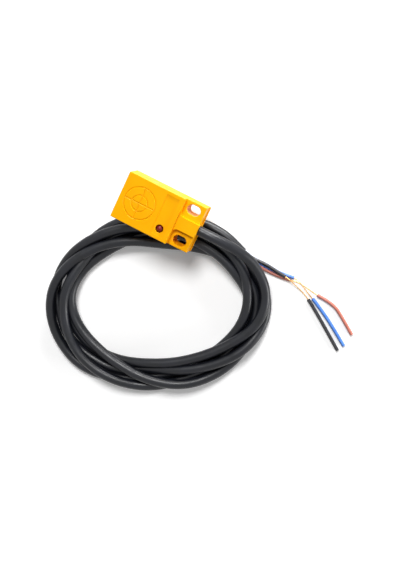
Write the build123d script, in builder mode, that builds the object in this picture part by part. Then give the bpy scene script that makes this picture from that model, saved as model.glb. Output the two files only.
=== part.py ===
from build123d import *
import os
from math import atan2, cos, degrees, pi, radians, sin, tan

# A flat inductive proximity sensor with its coiled three-core lead, in millimetres.
# +Z points out of the sensing face and +X runs from the sensing end to the cable end.
# The origin is the middle of the sensing coil, on the sensing face.

os.makedirs("parts", exist_ok=True)

# Case
case_length = 31.0
case_width = 18.0
case_height = 10.0
nose_x = -8.0  # sensing end
heel_x = nose_x + case_length  # cable end
back_z = -case_height  # the face that lies on a bracket
block_length = 22.7  # full-height block over the electronics
ear_height = 7.0  # the two mounting ears, measured from the back
boss_width = 4.8  # bridge between the ears, around the cable
boss_height = 8.9
boss_overlap = 2.0  # how far the boss runs into the block
pocket_radius = 2.0  # inner corner of each screw-head pocket
corner_radius = 0.35
rim_radius = 0.25
foot_height = 1.6  # the ears' end wall steps out by foot_step below this height
foot_step = 0.35
wall = 1.0
front_wall = 0.9
block_end_x = nose_x + block_length
cavity_end_x = block_end_x - 2.5
cavity_mid_x = (nose_x + wall + cavity_end_x) / 2
cavity_length = cavity_end_x - nose_x - wall
inner_width = case_width - 2 * wall
front_z = -front_wall  # inside of the front wall
resin_recess = 0.15
resin_thickness = 1.1

# Mounting slots for M3 screws
slot_width = 3.6
slot_length = 5.2
slot_lip = 0.1  # the slots are this much narrower all round, through the foot
slot_rim = 0.2
slot_x = heel_x - 4.45
slot_spacing = 12.3

# Marks on the sensing face
target_radii = (5.95, 3.0)
groove_top = 0.6
groove_bottom = 0.2
groove_depth = 0.22
panel_x = 10.42
panel_length = 5.0
panel_width = 15.2
panel_depth = 0.25

# Indicator
led_x = panel_x
led_y = -5.03
led_radius = 1.45
led_flange_radius = 1.7
led_flange_height = 0.5
led_top_z = -0.1
led_bottom_z = -4.9
led_hole_gap = 0.05
led_hole_rim = 0.15
led_lead_radius = 0.22
lead_pitch = 1.27
lead_stub = 0.4  # wire ends stand out this far below the board

# Sensing coil in its ferrite half pot
pot_radius = 5.75
pot_wall = 0.85
pot_height = 4.5
pot_web = 1.2
post_radius = 2.1
bobbin_wall = 0.4
bobbin_clearance = 0.1
winding_clearance = 0.1
coil_lead_x = 3.5
coil_lead_radius = 0.15

# Circuit board
board_thickness = 0.8
board_top_z = front_z - pot_height
board_bottom_z = board_top_z - board_thickness
board_length = 18.1
board_gap = 0.5  # between the board and the end wall
board_x = nose_x + wall + board_gap
board_width = 14.8
board_notch_length = 5.0
board_notch_width = 5.4
board_hole_radius = 0.3

# Cable
cable_diameter = 3.8
core_diameter = 1.2
strand_diameter = 0.4
cable_z = -5.5
bore_diameter = 4.0
bushing_diameter = 6.4
bushing_length = 2.0
crimp_thickness = 0.45
crimp_length = 1.6
jacket_start_x = 9.8

# Coil of cable on the surface under the sensor
floor_z = -20.0
low_z = floor_z + cable_diameter / 2  # middle of the lower layer
high_z = low_z + cable_diameter  # middle of the upper layer
coil_x = 18.6
coil_y = -34.7
coil_turn = 32.5  # degrees from +X to the long axis
coil_half_length = 38.8
coil_half_width = 28.0
coil_end_radius = 22.0
coil_band = 11.2  # width of the bundle, about three cables
coil_height = 2 * cable_diameter
coil_round = 2.4
channel_width = 6.4
channel_height = 4.05
channel_length = 34.0
notch_width = 7.4
notch_height = 12.0
notch_drop = 2.0  # below the middle of the upper layer
notch_length = 18.0

# Routes, from the case outwards
lead_route = [
    (heel_x, 0, cable_z),
    (30.5, 0, cable_z),
    (38.5, -0.9, -8.3),
    (46.2, -3.7, -12.2),
    (52.8, -8.2, high_z),
]
tail_route = [
    (29, 0.9, low_z),
    (34, -0.4, low_z),
    (39, -1.95, low_z),
    (43.5, -2.5, low_z),
]
core_stub = 2.4  # each core leaves the jacket straight
# Right and up from the jacket's axis
core_places = {"brown": (0.9, 0.15), "blue": (0, -0.75), "black": (-0.7, 0.3)}
core_routes = {
    "brown": [(49.5, -4.8, -19.0), (54, -4.9, -19.4), (58, -4.2, -19.4), (60.2, -3.6, -19.4)],
    "blue": [(50, -3.5, -19.3), (54.2, -2.95, -19.4), (58, -2.6, -19.4), (61.2, -2.1, -19.4)],
    "black": [(50, -2.4, -18.1), (54, -2.9, -18.1), (58.2, -3.1, -18.2)],
}
strand_routes = {
    "brown": [(60.2, -3.6, -19.4), (63.0, -2.9, -19.3), (66.8, -3.2, -19.4), (71.7, -4.0, -19.4)],
    "blue": [(61.2, -2.1, -19.4), (63.6, -2.2, -18.6), (66.6, -3.9, -18.6), (70.6, -5.8, -19.4)],
    "black": [(58.2, -3.1, -18.2), (61.5, -3.7, -18.2), (65.2, -5.1, -19.2), (69.1, -6.9, -19.4)],
}
slug_routes = {
    "brown": [
        (71.7, -4.0, -19.4),
        (75.8, -4.1, -19.4),
        (79.9, -4.9, -19.4),
        (83.6, -7.2, -19.4),
        (89.8, -11.4, -19.4),
    ],
    "blue": [
        (70.6, -5.8, -19.4),
        (75.0, -8.0, -19.4),
        (79.6, -10.5, -19.4),
        (84.2, -13.4, -19.4),
        (89.1, -16.6, -19.4),
    ],
    "black": [(69.1, -6.9, -19.4), (78.6, -12.8, -19.4), (87.8, -19.2, -19.4)],
}


def corner_radii(route):
    """The largest arc that each corner's two runs allow."""
    radii = []
    for before, corner, after in zip(route, route[1:], route[2:]):
        run_in = Vector(*corner) - Vector(*before)
        run_out = Vector(*after) - Vector(*corner)
        half_turn = radians(run_in.get_angle(run_out)) / 2
        radii.append(0.45 * min(run_in.length, run_out.length) / tan(half_turn))
    return radii


def flexible_tube(name, route, diameter):
    """A round tube along straight runs joined by tangent arcs."""
    radii = corner_radii(route)
    with BuildPart() as tube:
        with BuildLine() as path:
            FilletPolyline(*route, radius=radii)
        with BuildSketch(Plane(path.line @ 0, z_dir=path.line % 0)):
            Circle(diameter / 2)
        sweep(path=path.line)
    length = path.wires()[0].length
    expected = pi * diameter**2 / 4 * length
    print(name, "radii", [round(r, 1) for r in radii], "length", round(length, 1))
    print(name, "volume", round(tube.part.volume, 2), "section times length", round(expected, 2))
    return tube


def gull_wing_leads(pitch, count, centre, body_half, body_mid_z, board_z, side):
    """Bent legs along both long sides of a surface-mounted body; side is +1 above the board."""
    leg_width = 0.4
    leg_thickness = 0.2
    foot_length = 0.6
    rise = abs(body_mid_z - board_z)
    with BuildPart() as legs:
        for row in (-1, 1):
            for index in range(count):
                x = centre[0] + (index - (count - 1) / 2) * pitch
                y = centre[1] + row * (body_half + foot_length / 2)
                riser_y = centre[1] + row * (body_half + leg_thickness / 2)
                with Locations((x, riser_y, board_z + side * rise / 2)):
                    Box(leg_width, leg_thickness, rise)
                with Locations((x, y, board_z + side * leg_thickness / 2)):
                    Box(leg_width, foot_length, leg_thickness)
    return legs


# Case: block, ears and boss in one moulding, open at the back
ear_z = back_z + ear_height
with BuildPart() as housing:
    with BuildSketch(Plane.XY.offset(back_z)):
        with Locations((nose_x + case_length / 2, 0)):
            Rectangle(case_length, case_width)
    extrude(amount=ear_height)
    heel_corners = housing.edges().filter_by(Axis.Z).group_by(Axis.X)[-1]
    fillet(heel_corners, radius=corner_radius)
    with BuildSketch(Plane.XY.offset(back_z + foot_height)):
        with Locations((heel_x - foot_step / 2, 0)):
            Rectangle(foot_step, case_width)
    extrude(amount=ear_height - foot_height, mode=Mode.SUBTRACT)
    fillet(housing.faces().sort_by(Axis.Z)[-1].edges(), radius=rim_radius)
    with BuildSketch(Plane.XY.offset(back_z)):
        with Locations((nose_x + block_length / 2, 0)):
            Rectangle(block_length, case_width)
    extrude(amount=case_height)
    with BuildSketch(Plane.XY.offset(back_z)):
        with Locations(((block_end_x - boss_overlap + heel_x) / 2, 0)):
            Rectangle(heel_x - block_end_x + boss_overlap, boss_width)
    extrude(amount=boss_height)
    pocket_edges = housing.edges().filter_by(Axis.Z)
    pocket_edges = pocket_edges.filter_by(lambda e: abs(e.center().X - block_end_x) < 0.01)
    pocket_edges = pocket_edges.filter_by(lambda e: abs(e.center().Y) < case_width / 4)
    fillet(pocket_edges, radius=pocket_radius)
    nose_corners = housing.edges().filter_by(Axis.Z).group_by(Axis.X)[0]
    fillet(nose_corners, radius=corner_radius)
    front_edges = housing.faces().sort_by(Axis.Z)[-1].edges()
    fillet(front_edges, radius=rim_radius)
    with BuildSketch(Plane.XY.offset(back_z)):
        with Locations((cavity_mid_x, 0)):
            Rectangle(cavity_length, inner_width)
    extrude(amount=case_height - front_wall, mode=Mode.SUBTRACT)
    for slot_base_z, gap in ((back_z, -slot_lip), (back_z + foot_height, 0)):
        with BuildSketch(Plane.XY.offset(slot_base_z)):
            with Locations((slot_x, slot_spacing / 2), (slot_x, -slot_spacing / 2)):
                SlotOverall(slot_length + 2 * gap, slot_width + 2 * gap)
        extrude(amount=ear_height, mode=Mode.SUBTRACT)
    slot_edges = housing.edges().filter_by(lambda e: abs(e.center().Z - ear_z) < 0.01)
    slot_edges = slot_edges.filter_by(lambda e: abs(e.center().X - slot_x) < slot_length / 2 + 0.01)
    slot_inner_y = (slot_spacing - slot_width) / 2 - 0.01
    slot_outer_y = (slot_spacing + slot_width) / 2 + 0.01
    slot_edges = slot_edges.filter_by(lambda e: slot_inner_y < abs(e.center().Y) < slot_outer_y)
    chamfer(slot_edges, length=slot_rim)
    with BuildSketch(Plane.XY):
        with Locations((panel_x, 0)):
            Rectangle(panel_length, panel_width)
    extrude(amount=-panel_depth, mode=Mode.SUBTRACT)
    for radius in target_radii:
        with BuildSketch(Plane.XZ):
            with BuildLine():
                Polyline(
                    (radius - groove_top / 2, 0),
                    (radius + groove_top / 2, 0),
                    (radius + groove_bottom / 2, -groove_depth),
                    (radius - groove_bottom / 2, -groove_depth),
                    close=True,
                )
            make_face()
        revolve(axis=Axis.Z, mode=Mode.SUBTRACT)
    for across in (Plane.YZ, Plane.XZ):
        with BuildSketch(across):
            with BuildLine():
                Polyline(
                    (-groove_top / 2, 0),
                    (groove_top / 2, 0),
                    (groove_bottom / 2, -groove_depth),
                    (-groove_bottom / 2, -groove_depth),
                    close=True,
                )
            make_face()
        extrude(amount=target_radii[0], both=True, mode=Mode.SUBTRACT)
    with BuildSketch(Plane.XY):
        with Locations((led_x, led_y)):
            Circle(led_radius + led_hole_gap)
    extrude(amount=-2 * front_wall, mode=Mode.SUBTRACT)
    led_rim = housing.edges().filter_by(GeomType.CIRCLE)
    led_rim = led_rim.filter_by(lambda e: abs(e.arc_center.X - led_x) < 0.01)
    led_rim = led_rim.sort_by(Axis.Z)[-1]
    chamfer(led_rim, length=led_hole_rim)
    with BuildSketch(Plane.YZ.offset(cavity_end_x)):
        with Locations((0, cable_z)):
            Circle(bushing_diameter / 2)
    extrude(amount=bushing_length, mode=Mode.SUBTRACT)
    with BuildSketch(Plane.YZ.offset(cavity_end_x)):
        with Locations((0, cable_z)):
            Circle(bore_diameter / 2)
    extrude(amount=heel_x - cavity_end_x, mode=Mode.SUBTRACT)
housing.part.label = "housing"
export_step(housing.part, "parts/housing.step")

# Resin that closes the back of the case
with BuildPart() as potting_resin:
    with BuildSketch(Plane.XY.offset(back_z + resin_recess)):
        with Locations((cavity_mid_x, 0)):
            Rectangle(cavity_length, inner_width)
    extrude(amount=resin_thickness)
potting_resin.part.label = "potting_resin"
export_step(potting_resin.part, "parts/potting_resin.step")

# Ferrite half pot, open towards the sensing face, with two holes for the winding's ends
with BuildPart() as ferrite_core:
    with BuildSketch(Plane.XY.offset(board_top_z)):
        Circle(pot_radius)
    extrude(amount=pot_height)
    with BuildSketch(Plane.XY.offset(front_z)):
        Circle(pot_radius - pot_wall)
        Circle(post_radius, mode=Mode.SUBTRACT)
    extrude(amount=pot_web - pot_height, mode=Mode.SUBTRACT)
    with BuildSketch(Plane.XY.offset(board_top_z)):
        with GridLocations(2 * coil_lead_x, 1, 2, 1):
            Circle(board_hole_radius)
    extrude(amount=pot_height, mode=Mode.SUBTRACT)
ferrite_core.part.label = "ferrite_core"
export_step(ferrite_core.part, "parts/ferrite_core.step")

# Bobbin in the pot's groove
bobbin_low_z = board_top_z + pot_web
bobbin_radius = pot_radius - pot_wall - bobbin_clearance
with BuildPart() as coil_bobbin:
    with BuildSketch(Plane.XY.offset(bobbin_low_z)):
        Circle(bobbin_radius)
        Circle(post_radius, mode=Mode.SUBTRACT)
    extrude(amount=front_z - bobbin_low_z)
    with BuildSketch(Plane.XY.offset(bobbin_low_z + bobbin_wall)):
        Circle(bobbin_radius)
        Circle(post_radius + bobbin_wall, mode=Mode.SUBTRACT)
    extrude(amount=front_z - bobbin_low_z - 2 * bobbin_wall, mode=Mode.SUBTRACT)
    with BuildSketch(Plane.XY.offset(bobbin_low_z)):
        with GridLocations(2 * coil_lead_x, 1, 2, 1):
            Circle(board_hole_radius)
    extrude(amount=bobbin_wall, mode=Mode.SUBTRACT)
coil_bobbin.part.label = "coil_bobbin"
export_step(coil_bobbin.part, "parts/coil_bobbin.step")

# Enamelled copper winding on the bobbin
with BuildPart() as coil_winding:
    with BuildSketch(Plane.XY.offset(bobbin_low_z + bobbin_wall)):
        Circle(bobbin_radius - winding_clearance)
        Circle(post_radius + bobbin_wall, mode=Mode.SUBTRACT)
    extrude(amount=front_z - bobbin_low_z - 2 * bobbin_wall)
coil_winding.part.label = "coil_winding"
export_step(coil_winding.part, "parts/coil_winding.step")

# The winding's two ends, through the pot to the far side of the board
with BuildPart() as coil_leads:
    with BuildSketch(Plane.XY.offset(board_bottom_z - lead_stub)):
        with GridLocations(2 * coil_lead_x, 1, 2, 1):
            Circle(coil_lead_radius)
    extrude(amount=bobbin_low_z + bobbin_wall - board_bottom_z + lead_stub)
coil_leads.part.label = "coil_leads"
export_step(coil_leads.part, "parts/coil_leads.step")

# Circuit board, notched around the cable
board_end_x = board_x + board_length
with BuildPart() as circuit_board:
    with BuildSketch(Plane.XY.offset(board_bottom_z)):
        with Locations((board_x + board_length / 2, 0)):
            Rectangle(board_length, board_width)
        with Locations((board_end_x - board_notch_length / 2, 0)):
            Rectangle(board_notch_length, board_notch_width, mode=Mode.SUBTRACT)
        with GridLocations(2 * coil_lead_x, 1, 2, 1):
            Circle(board_hole_radius, mode=Mode.SUBTRACT)
        with Locations((led_x, led_y - lead_pitch), (led_x, led_y + lead_pitch)):
            Circle(board_hole_radius, mode=Mode.SUBTRACT)
    extrude(amount=board_thickness)
circuit_board.part.label = "circuit_board"
export_step(circuit_board.part, "parts/circuit_board.step")

# Sensor chip on the board's far side
chip_x = -1.0
chip_length = 4.9
chip_width = 3.9
chip_height = 1.4
chip_gap = 0.1  # between a chip's body and the board
chip_edge = 0.2
with BuildPart() as sensor_ic:
    with BuildSketch(Plane.XY.offset(board_bottom_z - chip_gap)):
        with Locations((chip_x, 0)):
            Rectangle(chip_length, chip_width)
    extrude(amount=-chip_height)
    chamfer(sensor_ic.faces().sort_by(Axis.Z)[0].edges(), length=chip_edge)
sensor_ic.part.label = "sensor_ic"
export_step(sensor_ic.part, "parts/sensor_ic.step")

ic_mid_z = board_bottom_z - chip_gap - chip_height / 2
ic_leads = gull_wing_leads(1.27, 4, (chip_x, 0), chip_width / 2, ic_mid_z, board_bottom_z, -1)
ic_leads.part.label = "ic_leads"
export_step(ic_leads.part, "parts/ic_leads.step")

# Output transistor on the board's near side
transistor_x = 9.2
transistor_y = 5.2
transistor_length = 3.4
transistor_width = 1.8
transistor_height = 1.3
transistor_edge = 0.15
with BuildPart() as output_transistor:
    with BuildSketch(Plane.XY.offset(board_top_z + chip_gap)):
        with Locations((transistor_x, transistor_y)):
            Rectangle(transistor_length, transistor_width)
    extrude(amount=transistor_height)
    chamfer(output_transistor.faces().sort_by(Axis.Z)[-1].edges(), length=transistor_edge)
output_transistor.part.label = "output_transistor"
export_step(output_transistor.part, "parts/output_transistor.step")

transistor_mid_z = board_top_z + chip_gap + transistor_height / 2
transistor_place = (transistor_x, transistor_y)
transistor_leads = gull_wing_leads(
    1.5, 2, transistor_place, transistor_width / 2, transistor_mid_z, board_top_z, 1
)
transistor_leads.part.label = "transistor_leads"
export_step(transistor_leads.part, "parts/transistor_leads.step")

# Chip resistors and capacitors, a tantalum capacitor and a zener diode on the far side
chip_part_length = 2.0
chip_part_width = 1.25
resistor_x = -5.6
resistor_pitch = 2.6
resistor_height = 0.5
with BuildPart() as resistors:
    with BuildSketch(Plane.XY.offset(board_bottom_z)):
        with Locations((resistor_x, 0)):
            with GridLocations(1, resistor_pitch, 1, 5):
                Rectangle(chip_part_length, chip_part_width)
    extrude(amount=-resistor_height)
resistors.part.label = "resistors"
export_step(resistors.part, "parts/resistors.step")

ceramic_x = 2.6
ceramic_spacing = (3.6, 10.4)
ceramic_height = 0.9
with BuildPart() as ceramic_capacitors:
    with BuildSketch(Plane.XY.offset(board_bottom_z)):
        with Locations((ceramic_x, 0)):
            with GridLocations(ceramic_spacing[0], ceramic_spacing[1], 2, 2):
                Rectangle(chip_part_length, chip_part_width)
    extrude(amount=-ceramic_height)
ceramic_capacitors.part.label = "ceramic_capacitors"
export_step(ceramic_capacitors.part, "parts/ceramic_capacitors.step")

tantalum_x = 8.8
tantalum_y = 5.0
tantalum_length = 3.2
tantalum_side = 1.6
tantalum_edge = 0.15
with BuildPart() as tantalum_capacitor:
    with BuildSketch(Plane.XY.offset(board_bottom_z)):
        with Locations((tantalum_x, tantalum_y)):
            Rectangle(tantalum_length, tantalum_side)
    extrude(amount=-tantalum_side)
    chamfer(tantalum_capacitor.faces().sort_by(Axis.Z)[0].edges(), length=tantalum_edge)
tantalum_capacitor.part.label = "tantalum_capacitor"
export_step(tantalum_capacitor.part, "parts/tantalum_capacitor.step")

zener_radius = 0.7
zener_length = 3.4
zener_x = 7.6
zener_y = -5.0
with BuildPart() as zener_diode:
    with BuildSketch(Plane.XZ.offset(-zener_y - zener_length / 2)):
        with Locations((zener_x, board_bottom_z - zener_radius)):
            Circle(zener_radius)
    extrude(amount=zener_length)
zener_diode.part.label = "zener_diode"
export_step(zener_diode.part, "parts/zener_diode.step")

# Indicator: a domed red body whose tip fills the hole in the front wall
with BuildPart() as indicator_led:
    with BuildSketch(Plane.XZ):
        with BuildLine():
            Polyline(
                (0, led_bottom_z),
                (led_flange_radius, led_bottom_z),
                (led_flange_radius, led_bottom_z + led_flange_height),
                (led_radius, led_bottom_z + led_flange_height),
                (led_radius, led_top_z - led_radius),
            )
            CenterArc((0, led_top_z - led_radius), led_radius, 0, 90)
            Line((0, led_top_z), (0, led_bottom_z))
        make_face()
    revolve(axis=Axis.Z)
indicator_led.part.position = (led_x, led_y, 0)
indicator_led.part.label = "indicator_led"
export_step(indicator_led.part, "parts/indicator_led.step")

with BuildPart() as led_leads:
    with BuildSketch(Plane.XY.offset(board_bottom_z - lead_stub)):
        with Locations((led_x, led_y - lead_pitch), (led_x, led_y + lead_pitch)):
            Circle(led_lead_radius)
    extrude(amount=led_bottom_z - board_bottom_z + lead_stub)
led_leads.part.label = "led_leads"
export_step(led_leads.part, "parts/led_leads.step")

# Cable entry: rubber bushing in the end wall and a brass crimp behind it
with BuildPart() as cable_bushing:
    with BuildSketch(Plane.YZ.offset(cavity_end_x)):
        with Locations((0, cable_z)):
            Circle(bushing_diameter / 2)
            Circle(cable_diameter / 2, mode=Mode.SUBTRACT)
    extrude(amount=bushing_length)
cable_bushing.part.label = "cable_bushing"
export_step(cable_bushing.part, "parts/cable_bushing.step")

with BuildPart() as cable_crimp:
    with BuildSketch(Plane.YZ.offset(cavity_end_x)):
        with Locations((0, cable_z)):
            Circle(cable_diameter / 2 + crimp_thickness)
            Circle(cable_diameter / 2, mode=Mode.SUBTRACT)
    extrude(amount=-crimp_length)
cable_crimp.part.label = "cable_crimp"
export_step(cable_crimp.part, "parts/cable_crimp.step")

with BuildPart() as cable_inlet:
    with BuildSketch(Plane.YZ.offset(jacket_start_x)):
        with Locations((0, cable_z)):
            Circle(cable_diameter / 2)
    extrude(amount=heel_x - jacket_start_x)
cable_inlet.part.label = "cable_inlet"
export_step(cable_inlet.part, "parts/cable_inlet.step")

# Cores inside the case, from the stripped jacket to solder joints on the far side of the board
joint_x = 4.6
joint_radius = 0.7
joint_height = 1.2
core_run_z = -7.1
inner_cores = {"brown": (1.5, 0.8, 0.4), "blue": (-1.5, -0.8, 0.4), "black": (0, 0, -0.75)}
for colour, (joint_y, start_y, start_rise) in inner_cores.items():
    route = [
        (jacket_start_x, start_y, cable_z + start_rise),
        (8.9, start_y, cable_z + start_rise),
        (7.3, joint_y, core_run_z),
        (joint_x + joint_radius, joint_y, core_run_z),
    ]
    board_core = flexible_tube(f"board_core_{colour}", route, core_diameter)
    board_core.part.label = f"board_core_{colour}"
    export_step(board_core.part, f"parts/board_core_{colour}.step")

with BuildPart() as core_solder_joints:
    with BuildSketch(Plane.XY.offset(board_bottom_z)):
        with Locations(*[(joint_x, joint_y) for joint_y, _, _ in inner_cores.values()]):
            Circle(joint_radius)
    extrude(amount=-joint_height)
core_solder_joints.part.label = "core_solder_joints"
export_step(core_solder_joints.part, "parts/core_solder_joints.step")

# Cable from the boss to the coil
cable_lead = flexible_tube("cable_lead", lead_route, cable_diameter)
cable_lead.part.label = "cable_lead"
export_step(cable_lead.part, "parts/cable_lead.step")


def coil_oval(plane, offset):
    """A four-arc oval, offset from the middle of the bundle."""
    end_x = coil_half_length - coil_end_radius
    drop = coil_half_width - coil_end_radius
    side_y = (end_x**2 - drop**2) / (2 * drop)
    join = degrees(atan2(side_y, end_x))
    with BuildSketch(plane) as oval:
        with BuildLine():
            CenterArc((end_x, 0), coil_end_radius + offset, -join, 2 * join)
            CenterArc((0, -side_y), side_y + coil_half_width + offset, join, 180 - 2 * join)
            CenterArc((-end_x, 0), coil_end_radius + offset, 180 - join, 2 * join)
            CenterArc((0, side_y), side_y + coil_half_width + offset, 180 + join, 180 - 2 * join)
        make_face()
    return oval


# Coil: the outer shape of the wound bundle, open where the cable joins and leaves it
long_axis = (cos(radians(coil_turn)), sin(radians(coil_turn)), 0)
coil_plane = Plane((coil_x, coil_y, floor_z), x_dir=long_axis, z_dir=(0, 0, 1))
lead_end = Vector(*lead_route[-1])
lead_back = (Vector(*lead_route[-2]) - lead_end).normalized()
tail_start = Vector(*tail_route[0])
tail_out = (Vector(*tail_route[1]) - tail_start).normalized()
coil_outer = coil_oval(coil_plane, coil_band / 2)
coil_inner = coil_oval(coil_plane, -coil_band / 2)
with BuildPart() as cable_coil:
    extrude(coil_outer.sketch, amount=coil_height)
    extrude(coil_inner.sketch, amount=coil_height, mode=Mode.SUBTRACT)
    rims = cable_coil.faces().filter_by(Axis.Z).edges()
    fillet(rims, radius=coil_round)
    channel_side = tail_out.cross(Vector(0, 0, 1))
    with BuildSketch(Plane(tail_start, x_dir=channel_side, z_dir=tail_out)):
        with Locations((0, floor_z - low_z + channel_height / 2)):
            Rectangle(channel_width, channel_height)
    extrude(amount=channel_length, mode=Mode.SUBTRACT)
    notch_side = lead_back.cross(Vector(0, 0, 1))
    with BuildSketch(Plane(lead_end, x_dir=notch_side, z_dir=lead_back)):
        with Locations((0, notch_height / 2 - notch_drop)):
            Rectangle(notch_width, notch_height)
    extrude(amount=notch_length, mode=Mode.SUBTRACT)
cable_coil.part.label = "cable_coil"
export_step(cable_coil.part, "parts/cable_coil.step")

# Cable from the coil to where the jacket is stripped
cable_tail = flexible_tube("cable_tail", tail_route, cable_diameter)
cable_tail.part.label = "cable_tail"
export_step(cable_tail.part, "parts/cable_tail.step")

# The three cores: insulated, then bare, then the slug of insulation left on each end
tail_end = Vector(*tail_route[-1])
tail_end_direction = (tail_end - Vector(*tail_route[-2])).normalized()
tail_right = tail_end_direction.cross(Vector(0, 0, 1))
for colour in ("brown", "blue", "black"):
    right, up = core_places[colour]
    core_start = tail_end + tail_right * right + Vector(0, 0, up)
    stub_end = core_start + tail_end_direction * core_stub
    core_route = [tuple(core_start), tuple(stub_end)] + core_routes[colour]
    core = flexible_tube(f"core_{colour}", core_route, core_diameter)
    core.part.label = f"core_{colour}"
    export_step(core.part, f"parts/core_{colour}.step")
    strand = flexible_tube(f"strand_{colour}", strand_routes[colour], strand_diameter)
    strand.part.label = f"strand_{colour}"
    export_step(strand.part, f"parts/strand_{colour}.step")
    slug = flexible_tube(f"slug_{colour}", slug_routes[colour], core_diameter)
    slug.part.label = f"slug_{colour}"
    export_step(slug.part, f"parts/slug_{colour}.step")
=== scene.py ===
from math import cos, hypot, pi, radians, sin

import bpy
from mathutils import Matrix, Quaternion, Vector


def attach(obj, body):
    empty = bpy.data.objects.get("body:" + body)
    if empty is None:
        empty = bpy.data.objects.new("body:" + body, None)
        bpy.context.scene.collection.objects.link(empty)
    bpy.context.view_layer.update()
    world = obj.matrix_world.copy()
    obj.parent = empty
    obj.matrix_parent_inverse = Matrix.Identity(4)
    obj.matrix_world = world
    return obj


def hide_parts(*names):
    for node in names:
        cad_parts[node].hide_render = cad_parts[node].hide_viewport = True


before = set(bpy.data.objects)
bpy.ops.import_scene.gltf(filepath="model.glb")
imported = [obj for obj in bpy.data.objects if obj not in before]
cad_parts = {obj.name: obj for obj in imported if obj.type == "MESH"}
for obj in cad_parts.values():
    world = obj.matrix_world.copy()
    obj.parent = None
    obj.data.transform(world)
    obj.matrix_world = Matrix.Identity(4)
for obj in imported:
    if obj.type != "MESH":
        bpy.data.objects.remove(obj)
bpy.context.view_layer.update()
mm = 0.001
print("frame loaded:", len(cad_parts), "nodes")


def pick(thing):
    if bpy.context.object and bpy.context.object.mode != "OBJECT":
        bpy.ops.object.mode_set(mode="OBJECT")
    bpy.ops.object.select_all(action="DESELECT")
    thing.select_set(True)
    bpy.context.view_layer.objects.active = thing


def linear(*shade):  # a colour as a screen shows it, 0 to 255, for a shader's socket
    return [(v / 255 / 12.92 if v < 11 else ((v / 255 + 0.055) / 1.055) ** 2.4) for v in shade] + [1]


# Camera: looking down on the sensor from in front of its cable end, leaning a little to the right
cameraSettings = {
    "place": (71.0, 64.05, 349.65),  # mm
    "forward": (-0.1062, -0.2234, -0.9689),
    "up": (-0.4549, 0.8774, -0.1524),
    "lens": 63.16,
    "sensor": 36.0,
}


def makeCamera(settings):
    data = bpy.data.cameras.new("camera")
    data.lens = settings["lens"]
    data.sensor_width = settings["sensor"]
    data.clip_start = 0.01
    camera = bpy.data.objects.new("camera", data)
    bpy.context.scene.collection.objects.link(camera)
    forward = Vector(settings["forward"]).normalized()
    right = forward.cross(Vector(settings["up"])).normalized()
    turn = Matrix((right, right.cross(forward), -forward)).transposed().to_4x4()
    camera.matrix_world = Matrix.Translation(Vector(settings["place"]) * mm) @ turn
    bpy.context.scene.camera = camera


makeCamera(cameraSettings)
print("camera made")

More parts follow.
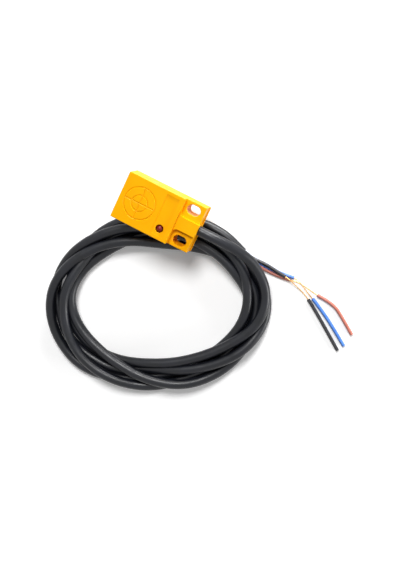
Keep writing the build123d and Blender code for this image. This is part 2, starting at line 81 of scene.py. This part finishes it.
# Finishes: one dictionary for each, all lengths in mm. grain is the fine texture of the surface and mottle
# the slow change of colour over it.
finishes = {
    "case_plastic": {"colour": (247, 173, 3), "shade": (241, 166, 2), "mottle": 9, "rough": (0.34, 0.46),
                     "grain": 0.35, "depth": 0.004, "specular": 0.1},
    "potting_resin": {"colour": (24, 22, 21), "shade": (38, 35, 33), "mottle": 3, "rough": (0.16, 0.4),
                      "grain": 2.2, "depth": 0.05},
    "ferrite": {"colour": (52, 50, 50), "shade": (38, 37, 38), "mottle": 1.5, "rough": (0.55, 0.75),
                "grain": 0.25, "depth": 0.012},
    "bobbin_plastic": {"colour": (222, 216, 200), "shade": (208, 200, 180), "mottle": 3,
                       "rough": (0.4, 0.55), "grain": 0.5, "depth": 0.004},
    "enamelled_copper": {"colour": (176, 84, 40), "shade": (150, 62, 28), "mottle": 1.2,
                         "rough": (0.22, 0.36), "grain": 0.3, "depth": 0.01, "metal": 0.8, "coat": 0.6},
    "board_laminate": {"colour": (22, 92, 52), "shade": (30, 112, 62), "mottle": 2.4,
                       "rough": (0.28, 0.42), "grain": 0.6, "depth": 0.008, "coat": 0.3},
    "chip_plastic": {"colour": (36, 36, 38), "shade": (28, 28, 30), "mottle": 0.8, "rough": (0.5, 0.68),
                     "grain": 0.15, "depth": 0.004},
    "tinned_metal": {"colour": (196, 196, 192), "shade": (176, 176, 174), "mottle": 1,
                     "rough": (0.25, 0.42), "grain": 0.4, "depth": 0.004, "metal": 1},
    "chip_resistor": {"colour": (30, 30, 34), "shade": (44, 44, 50), "mottle": 0.9, "rough": (0.3, 0.5),
                      "grain": 0.3, "depth": 0.003},
    "chip_ceramic": {"colour": (168, 136, 100), "shade": (150, 118, 84), "mottle": 0.7,
                     "rough": (0.5, 0.65), "grain": 0.2, "depth": 0.003},
    "tantalum_case": {"colour": (222, 152, 34), "shade": (206, 136, 26), "mottle": 1.1,
                      "rough": (0.42, 0.55), "grain": 0.25, "depth": 0.003},
    "diode_glass": {"colour": (168, 82, 50), "shade": (130, 60, 40), "mottle": 0.6,
                    "rough": (0.06, 0.12), "grain": 0.6, "depth": 0.001, "coat": 1},
    "solder": {"colour": (188, 190, 192), "shade": (164, 166, 170), "mottle": 0.7, "rough": (0.18, 0.34),
               "grain": 0.5, "depth": 0.01, "metal": 1},
    "indicator_resin": {"colour": (112, 12, 10), "shade": (92, 5, 5), "mottle": 1.6,
                        "rough": (0.34, 0.42), "grain": 0.8, "depth": 0.002, "specular": 0.35},
    "bushing_rubber": {"colour": (26, 26, 28), "shade": (34, 34, 36), "mottle": 2, "rough": (0.55, 0.7),
                       "grain": 0.3, "depth": 0.008},
    "crimp_brass": {"colour": (208, 168, 92), "shade": (186, 144, 74), "mottle": 1.4,
                    "rough": (0.22, 0.36), "grain": 0.5, "depth": 0.004, "metal": 1},
    "cable_jacket": {"colour": (11, 13, 18), "shade": (17, 19, 26), "mottle": 6, "rough": (0.33, 0.43),
                     "grain": 0.45, "depth": 0.01, "specular": 0.4},
    "insulation_brown": {"colour": (192, 118, 103), "shade": (180, 106, 91), "mottle": 4,
                         "rough": (0.36, 0.46), "grain": 0.4, "depth": 0.0015},
    "insulation_blue": {"colour": (78, 126, 204), "shade": (66, 113, 193), "mottle": 4,
                        "rough": (0.34, 0.44), "grain": 0.4, "depth": 0.0015},
    "insulation_black": {"colour": (30, 30, 33), "shade": (42, 42, 46), "mottle": 4,
                         "rough": (0.36, 0.46), "grain": 0.4, "depth": 0.0015},
    "bare_copper": {"colour": (242, 205, 140), "shade": (230, 176, 110), "mottle": 1.5,
                    "rough": (0.24, 0.36), "grain": 0.3, "depth": 0.002, "metal": 1},
}


def socketNoise(tree, place, size, detail, x, y):
    noise = tree.nodes.new("ShaderNodeTexNoise")
    noise.location = (x, y)
    noise.inputs["Scale"].default_value = 1 / (size * mm)
    noise.inputs["Detail"].default_value = detail
    tree.links.new(place, noise.inputs["Vector"])
    return noise.outputs["Fac"]


def spread(tree, source, low, high, x, y):  # noise sits about the middle, so its middle part is stretched
    ramp = tree.nodes.new("ShaderNodeMapRange")
    ramp.location = (x, y)
    for name, value in (("From Min", 0.35), ("From Max", 0.65), ("To Min", low), ("To Max", high)):
        ramp.inputs[name].default_value = value
    tree.links.new(source, ramp.inputs["Value"])
    return ramp.outputs["Result"]


def makeFinish(name, settings):
    material = bpy.data.materials.new("finish_" + name)
    material.use_nodes = True
    tree = material.node_tree
    shader = tree.nodes["Principled BSDF"]
    place = tree.nodes.new("ShaderNodeTexCoord")
    place.location = (-1300, 0)
    place = place.outputs["Object"]
    mottle = spread(tree, socketNoise(tree, place, settings["mottle"], 3, -1000, 300), 0, 1, -800, 300)
    mix = tree.nodes.new("ShaderNodeMix")
    mix.data_type = "RGBA"
    mix.location = (-500, 300)
    mix.inputs["A"].default_value = linear(*settings["colour"])
    mix.inputs["B"].default_value = linear(*settings["shade"])
    tree.links.new(mottle, mix.inputs["Factor"])
    tree.links.new(mix.outputs["Result"], shader.inputs["Base Color"])
    handled = socketNoise(tree, place, settings["mottle"] * 0.4, 5, -1000, 0)
    tree.links.new(spread(tree, handled, *settings["rough"], -800, 0), shader.inputs["Roughness"])
    bump = tree.nodes.new("ShaderNodeBump")
    bump.location = (-300, -300)
    bump.inputs["Strength"].default_value = 1
    bump.inputs["Distance"].default_value = settings["depth"] * mm
    tree.links.new(socketNoise(tree, place, settings["grain"], 2, -1000, -300), bump.inputs["Height"])
    tree.links.new(bump.outputs["Normal"], shader.inputs["Normal"])
    shader.inputs["Metallic"].default_value = settings.get("metal", 0)
    shader.inputs["Coat Weight"].default_value = settings.get("coat", 0)
    shader.inputs["Coat Roughness"].default_value = 0.08
    shader.inputs["Specular IOR Level"].default_value = settings.get("specular", 0.5)
    return material


finishMaterials = {name: makeFinish(name, settings) for name, settings in finishes.items()}
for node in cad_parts.values():
    for slot in node.material_slots:
        slot.material = finishMaterials[slot.material.name.split(".")[0]]
print("finishes made:", len(finishMaterials))


def finishPiece(piece, slotName):
    piece.data.materials.clear()
    piece.data.materials.append(finishMaterials[slotName])
    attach(piece, "root")


# Curves along a route, and meshes made from them
def routeCurve(name, route, tilt=0):
    # A smooth curve through space, led by points given in mm
    data = bpy.data.curves.new(name, "CURVE")
    data.dimensions = "3D"
    data.resolution_u = 12
    spline = data.splines.new("NURBS")
    spline.points.add(len(route) - 1)
    for step, (point, place) in enumerate(zip(spline.points, route)):
        point.co = (place[0] * mm, place[1] * mm, place[2] * mm, 1)
        point.tilt = step * tilt
    spline.order_u = 3
    spline.use_endpoint_u = True
    curve = bpy.data.objects.new(name, data)
    bpy.context.scene.collection.objects.link(curve)
    return curve


def routeLine(curve):
    # The points along a curve that has no thickness yet
    bpy.context.view_layer.update()
    mesh = bpy.data.meshes.new_from_object(curve.evaluated_get(bpy.context.evaluated_depsgraph_get()))
    line = [v.co.copy() for v in mesh.vertices]
    bpy.data.meshes.remove(mesh)
    return line


def lineLength(line):
    return sum((b - a).length for a, b in zip(line, line[1:]))


def linesCurve(name, lines, diameter):
    # Round wires along lists of points
    data = bpy.data.curves.new(name, "CURVE")
    data.dimensions = "3D"
    data.bevel_depth = diameter / 2 * mm
    data.bevel_resolution = 4
    data.use_fill_caps = True
    for line in lines:
        spline = data.splines.new("POLY")
        spline.points.add(len(line) - 1)
        for point, place in zip(spline.points, line):
            point.co = (*place, 1)
    curve = bpy.data.objects.new(name, data)
    bpy.context.scene.collection.objects.link(curve)
    return curve


def toMesh(curve):
    pick(curve)
    bpy.ops.object.convert(target="MESH")
    bpy.ops.object.mode_set(mode="EDIT")
    bpy.ops.mesh.select_all(action="SELECT")
    bpy.ops.mesh.remove_doubles(threshold=0.000005)
    bpy.ops.mesh.normals_make_consistent(inside=False)
    bpy.ops.object.mode_set(mode="OBJECT")
    bpy.ops.object.shade_smooth_by_angle(angle=radians(40))
    return bpy.context.object


# The cable: out of the case, once over the top of the coil, round and round it, and back under the lead
cable = {
    "diameter": 3.8,  # mm
    "exit": (23.0, 0, -5.5),
    "length": 1.11,  # m
    "lobes": 3,  # the three cores inside show faintly through the jacket
    "lobeHeight": 0.035,
    "corners": 30,  # of the jacket's outline
    "tilt": 0.35,  # the lie of the cores turns along the cable, radians for each point of the route
    "lead": [(9.8, 0, -5.5), (23.0, 0, -5.5), (30.5, 0, -5.5), (38.8, -0.5, -8.3), (46.7, -3.1, -12.2)],
    "tail": [(28.6, 0.9, -18.1), (32.4, 0.3, -18.1), (36.2, -0.9, -18.1), (39.8, -2.2, -18.1)],
}
coil = {
    "middle": (18.6, -34.7),  # mm
    "turn": 32.5,  # degrees from +X to the long axis
    "halfLength": 39.3,
    "halfWidth": 28.5,
    "floor": -20.0,
    "firstAngle": 60,
    "step": -20,  # degrees from one point to the next
    "skip": 3,  # points of the first turn that the lead takes
}

# Each turn's places, every step from the first angle: sideways from the middle of the bundle in mm, and
# height in cable diameters. The turns cross each other as they go round, outer ones passing inwards on top.
turns = [
    [(0, 0), (0, 0), (0, 0), (4.5, 1.0), (2.5, 1.0), (-1.6, 1.0),
     (-3.9, 1.0), (-4.9, 1.0), (-5.2, 0.8), (-3.7, 0.1), (-3.3, 0), (-3.5, 0),
     (-3.4, 0), (-2.4, 0), (0.2, 0), (3.9, 0), (5.4, 0.2), (4.0, 1.3)],
    [(2.4, 1.3), (0.6, 1.0), (-1.0, 1.0), (-2.8, 1.0), (-3.3, 0.9), (-3.4, 0.1),
     (-2.8, 0), (-0.8, 0), (1.4, 0), (4.0, 0), (5.9, 0), (4.9, 0.1),
     (3.7, 0.6), (2.8, 1.0), (1.2, 1.1), (-0.5, 1.0), (-2.8, 1.0), (-5.6, 0.7)],
    [(-5.0, 0.1), (-3.2, 0), (-2.2, 0), (-0.2, 0), (0.4, 0), (3.2, 0),
     (5.0, 0.1), (4.8, 0.9), (1.0, 1.1), (-3.6, 1.1), (-6.0, 0.9), (-6.5, 0.75),
     (-5.7, 0.6), (-4.2, 0.6), (-3.6, 0), (-3.6, 0), (-2.3, 0), (-0.6, 0)],
    [(-0.3, 0), (-0.3, 0), (1.2, 0), (3.8, 0), (4.4, 0.1), (3.4, 1.0),
     (0.8, 1.0), (-1.5, 1.0), (-2.9, 0.2), (0.8, 0), (0.4, 0), (1.0, 0),
     (0.2, 0), (3.2, 0), (3.8, 0.3), (3.3, 1.0), (2.5, 1.0), (0.2, 1.0)],
    [(-2.1, 1.0), (-3.4, 1.0), (-4.2, 0.8), (-3.2, 0), (-2.4, 0), (-0.4, 0),
     (1.0, 0), (2.9, 0), (4.9, 0.2), (3.7, 1.0), (1.8, 1.0), (-0.9, 1.0),
     (-2.6, 1.0), (-2.6, 1.2), (-2.1, 0.9), (0.1, 0), (0.9, 0), (3.6, 0)],
    [(4.4, 0)],
]


def coilPoint(angle, sideways, layers):
    # A place on the oval, moved out along its normal
    a, b = coil["halfLength"], coil["halfWidth"]
    c, s = cos(radians(angle)), sin(radians(angle))
    slope = hypot(b * c, a * s)
    u = a * c + sideways * b * c / slope
    v = b * s + sideways * a * s / slope
    turnC, turnS = cos(radians(coil["turn"])), sin(radians(coil["turn"]))
    x = coil["middle"][0] + u * turnC - v * turnS
    y = coil["middle"][1] + u * turnS + v * turnC
    return (x, y, coil["floor"] + cable["diameter"] * (0.5 + layers))


def cableRoute():
    wound = [place for turn in turns for place in turn]
    route = list(cable["lead"])
    for step, (sideways, layers) in enumerate(wound):
        if step >= coil["skip"]:
            route.append(coilPoint(coil["firstAngle"] + step * coil["step"], sideways, layers))
    return route + list(cable["tail"])


def jacketSection():
    # The jacket's outline, round but for the three cores under it
    data = bpy.data.curves.new("jacket_section", "CURVE")
    spline = data.splines.new("POLY")
    spline.points.add(cable["corners"] - 1)
    for step, point in enumerate(spline.points):
        angle = 2 * pi * step / cable["corners"]
        radius = cable["diameter"] / 2 - cable["lobeHeight"] * (0.5 - 0.5 * cos(cable["lobes"] * angle))
        point.co = (radius * cos(angle) * mm, radius * sin(angle) * mm, 0, 1)
    spline.use_cyclic_u = True
    section = bpy.data.objects.new("jacket_section", data)
    bpy.context.scene.collection.objects.link(section)
    return section


def makeCable():
    jacket = routeCurve("cable_sheath", cableRoute(), cable["tilt"])
    line = routeLine(jacket)
    print("cable route", round(lineLength(line), 4), "m")
    section = jacketSection()
    jacket.data.bevel_mode = "OBJECT"
    jacket.data.bevel_object = section
    jacket.data.use_fill_caps = True
    jacket = toMesh(jacket)
    bpy.data.objects.remove(section)
    finishPiece(jacket, "cable_jacket")
    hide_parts("cable_inlet", "cable_lead", "cable_coil", "cable_tail")


makeCable()
print("cable made")

# The three conductors at the stripped end: a length in its insulation, bare twisted copper, and the slug of
# insulation pushed along to the tip
conductors = {
    "insulation": 1.32,  # mm
    "copper": 0.4,
    "wire": 0.4 / 3,
    "wires": 6,  # round a middle one
    "lay": 5.0,  # mm of conductor for one twist of the wires
    "length": 0.052,  # m
    "stub": 2.4,  # mm straight out of the jacket
    "jacketEnd": cable["tail"][-1],
    "jacketWay": (0.94, -0.34, 0),  # the way the jacket points at its end, and the way to its right
    "jacketRight": (-0.34, -0.94, 0),
    "hollow": 0.6,  # mm deep, at the cut ends of the insulation
    "gap": 0.05,  # mm between the wires and the side of the hollow
}
cores = {
    "brown": {"offset": (0.9, 0.15), "core": 20.9, "slug": 20.1,
              "route": [(49.5, -4.2, -19.0), (54, -4.3, -19.33), (58, -3.9, -19.33),
                        (60.2, -3.6, -19.33), (63.0, -2.9, -19.3), (66.8, -3.2, -19.33),
                        (71.7, -4.0, -19.33), (75.8, -4.1, -19.33), (79.9, -4.9, -19.33),
                        (83.6, -7.2, -19.33), (89.8, -11.4, -19.33)]},
    "blue": {"offset": (0, -0.75), "core": 21.6, "slug": 21.4,
             "route": [(50, -3.5, -19.3), (54.2, -2.95, -19.33), (58, -2.6, -19.33),
                       (61.2, -2.1, -19.33), (63.6, -2.2, -18.6), (66.6, -3.9, -18.6),
                       (70.6, -5.8, -19.33), (75.0, -8.0, -19.33), (79.6, -10.5, -19.33),
                       (84.2, -13.4, -19.33), (89.1, -16.6, -19.33)]},
    "black": {"offset": (-0.7, 0.3), "core": 18.4, "slug": 22.4,
              "route": [(49.6, -2.1, -17.95), (54, -2.55, -17.95), (58.2, -2.95, -18.0),
                        (61.5, -3.7, -18.0), (65.2, -5.0, -19.2), (69.3, -6.65, -19.33),
                        (78.6, -12.8, -19.33), (87.8, -19.2, -19.33)]},
}


def coreRoute(settings):
    right, up = settings["offset"]
    end, way, side = (Vector(conductors[key]) for key in ("jacketEnd", "jacketWay", "jacketRight"))
    start = end + side * right + Vector((0, 0, up))
    return [tuple(start), tuple(start + way * conductors["stub"])] + settings["route"]


def stretch(line, start, end):
    # The part of a line between two distances along it, in mm
    part = []
    run = 0
    for before, here in zip([line[0]] + line, line):
        run += (here - before).length
        if start * mm <= run <= (end + 0.01) * mm:
            part.append(here)
    return part


def twistedLines(line):
    # The middle wire and the wires that wind round it
    pitch = (conductors["copper"] - conductors["wire"]) / 2 * mm
    wound = [[] for _ in range(conductors["wires"])]
    side = Vector((0, 0, 1))
    run = 0
    for here, after in zip(line, line[1:] + [line[-1] * 2 - line[-2]]):
        way = (after - here).normalized()
        side = (side - way * side.dot(way)).normalized()
        for number, wire in enumerate(wound):
            angle = 2 * pi * (number / conductors["wires"] + run / (conductors["lay"] * mm))
            wire.append(here + Quaternion(way, angle) @ side * pitch)
        run += (after - here).length
    return [line] + wound


def hollowEnds(piece):
    # Both cut ends of a piece of insulation, open a little way round the wires
    pick(piece)
    bpy.ops.object.mode_set(mode="EDIT")
    bpy.ops.mesh.select_mode(type="FACE")
    bpy.ops.mesh.select_all(action="DESELECT")
    bpy.ops.mesh.select_face_by_sides(number=4, type="GREATER", extend=False)
    wall = (conductors["insulation"] - conductors["copper"]) / 2 - conductors["gap"]
    bpy.ops.mesh.inset(thickness=wall * mm)
    bpy.ops.mesh.extrude_region_move()
    bpy.ops.transform.shrink_fatten(value=-conductors["hollow"] * mm)
    bpy.ops.object.mode_set(mode="OBJECT")


def makeConductor(colour, settings):
    route = routeCurve("route_" + colour, coreRoute(settings))
    line = routeLine(route)
    bpy.data.objects.remove(route)
    length = lineLength(line) / mm
    print(colour, "conductor", round(length, 2), "mm")
    copper = toMesh(linesCurve("copper_" + colour, twistedLines(line), conductors["wire"]))
    finishPiece(copper, "bare_copper")
    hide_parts("strand_" + colour)
    for name, node, ends in (("cover_", "core_", (0, settings["core"])),
                             ("tip_", "slug_", (length - settings["slug"], length))):
        cover = toMesh(linesCurve(name + colour, [stretch(line, *ends)], conductors["insulation"]))
        hollowEnds(cover)
        finishPiece(cover, "insulation_" + colour)
        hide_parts(node + colour)


for colour, settings in cores.items():
    makeConductor(colour, settings)
print("conductors made")

# Lights, world and floor. Places and sizes are in metres, and every lamp faces the aim.
studio = {
    "floorSize": 6.0,
    "rim": {"place": (-0.1, 1.0, 0.13), "size": 0.5, "watts": 16.0},
    "top": {"place": (-0.2, 0.55, 0.9), "size": 0.42, "watts": 10.5},
    "side": {"place": (0.95, 0.2, 0.15), "size": 0.45, "watts": 6.5},
    "aim": (0.02, -0.02, -0.01),
    "world": 0.13,  # the light from all round
    "floorColour": (0.98, 0.98, 0.98),
    "floorGlow": 0.16,  # added where the camera or a mirror sees the floor, so that it turns white
}


def areaLight(name, settings):
    data = bpy.data.lights.new(name, "AREA")
    data.shape = "DISK"
    data.size = settings["size"]
    data.energy = settings["watts"]
    lamp = bpy.data.objects.new(name, data)
    bpy.context.scene.collection.objects.link(lamp)
    place = Vector(settings["place"])
    lamp.location = place
    lamp.rotation_euler = (place - Vector(studio["aim"])).to_track_quat("Z", "Y").to_euler()


def cameraOrMirrorRay(tree):
    # 1 for camera rays and for rays reflected or let through, 0 for those that light the object
    rays = tree.nodes.new("ShaderNodeLightPath")
    total = rays.outputs["Is Camera Ray"]
    for name in ("Is Glossy Ray", "Is Transmission Ray"):
        add = tree.nodes.new("ShaderNodeMath")
        add.operation = "MAXIMUM"
        tree.links.new(total, add.inputs[0])
        tree.links.new(rays.outputs[name], add.inputs[1])
        total = add.outputs[0]
    return total


def makeFloor():
    bpy.ops.object.select_all(action="DESELECT")
    bpy.ops.mesh.primitive_plane_add(size=studio["floorSize"], location=(0, 0, coil["floor"] * mm))
    floor = bpy.context.object
    floor.name = "studio_floor"
    material = bpy.data.materials.new("studio_floor")
    material.use_nodes = True
    tree = material.node_tree
    shader = tree.nodes["Principled BSDF"]
    shader.inputs["Base Color"].default_value = (*studio["floorColour"], 1)
    shader.inputs["Roughness"].default_value = 0.9
    shader.inputs["Specular IOR Level"].default_value = 0
    shader.inputs["Emission Color"].default_value = (1, 1, 1, 1)
    glow = tree.nodes.new("ShaderNodeMath")
    glow.operation = "MULTIPLY"
    glow.inputs[1].default_value = studio["floorGlow"]
    tree.links.new(cameraOrMirrorRay(tree), glow.inputs[0])
    tree.links.new(glow.outputs[0], shader.inputs["Emission Strength"])
    floor.data.materials.append(material)


def makeWorld():
    world = bpy.data.worlds.new("studio_world")
    bpy.context.scene.world = world
    world.use_nodes = True
    tree = world.node_tree
    background = tree.nodes["Background"]
    background.inputs["Color"].default_value = (1, 1, 1, 1)
    strength = tree.nodes.new("ShaderNodeMapRange")
    strength.inputs["To Min"].default_value = studio["world"]
    strength.inputs["To Max"].default_value = 1
    tree.links.new(cameraOrMirrorRay(tree), strength.inputs["Value"])
    tree.links.new(strength.outputs["Result"], background.inputs["Strength"])


for lampName in ("rim", "top", "side"):
    areaLight(lampName, studio[lampName])
makeWorld()
makeFloor()
bpy.context.scene.view_settings.view_transform = "Standard"
print("studio made")
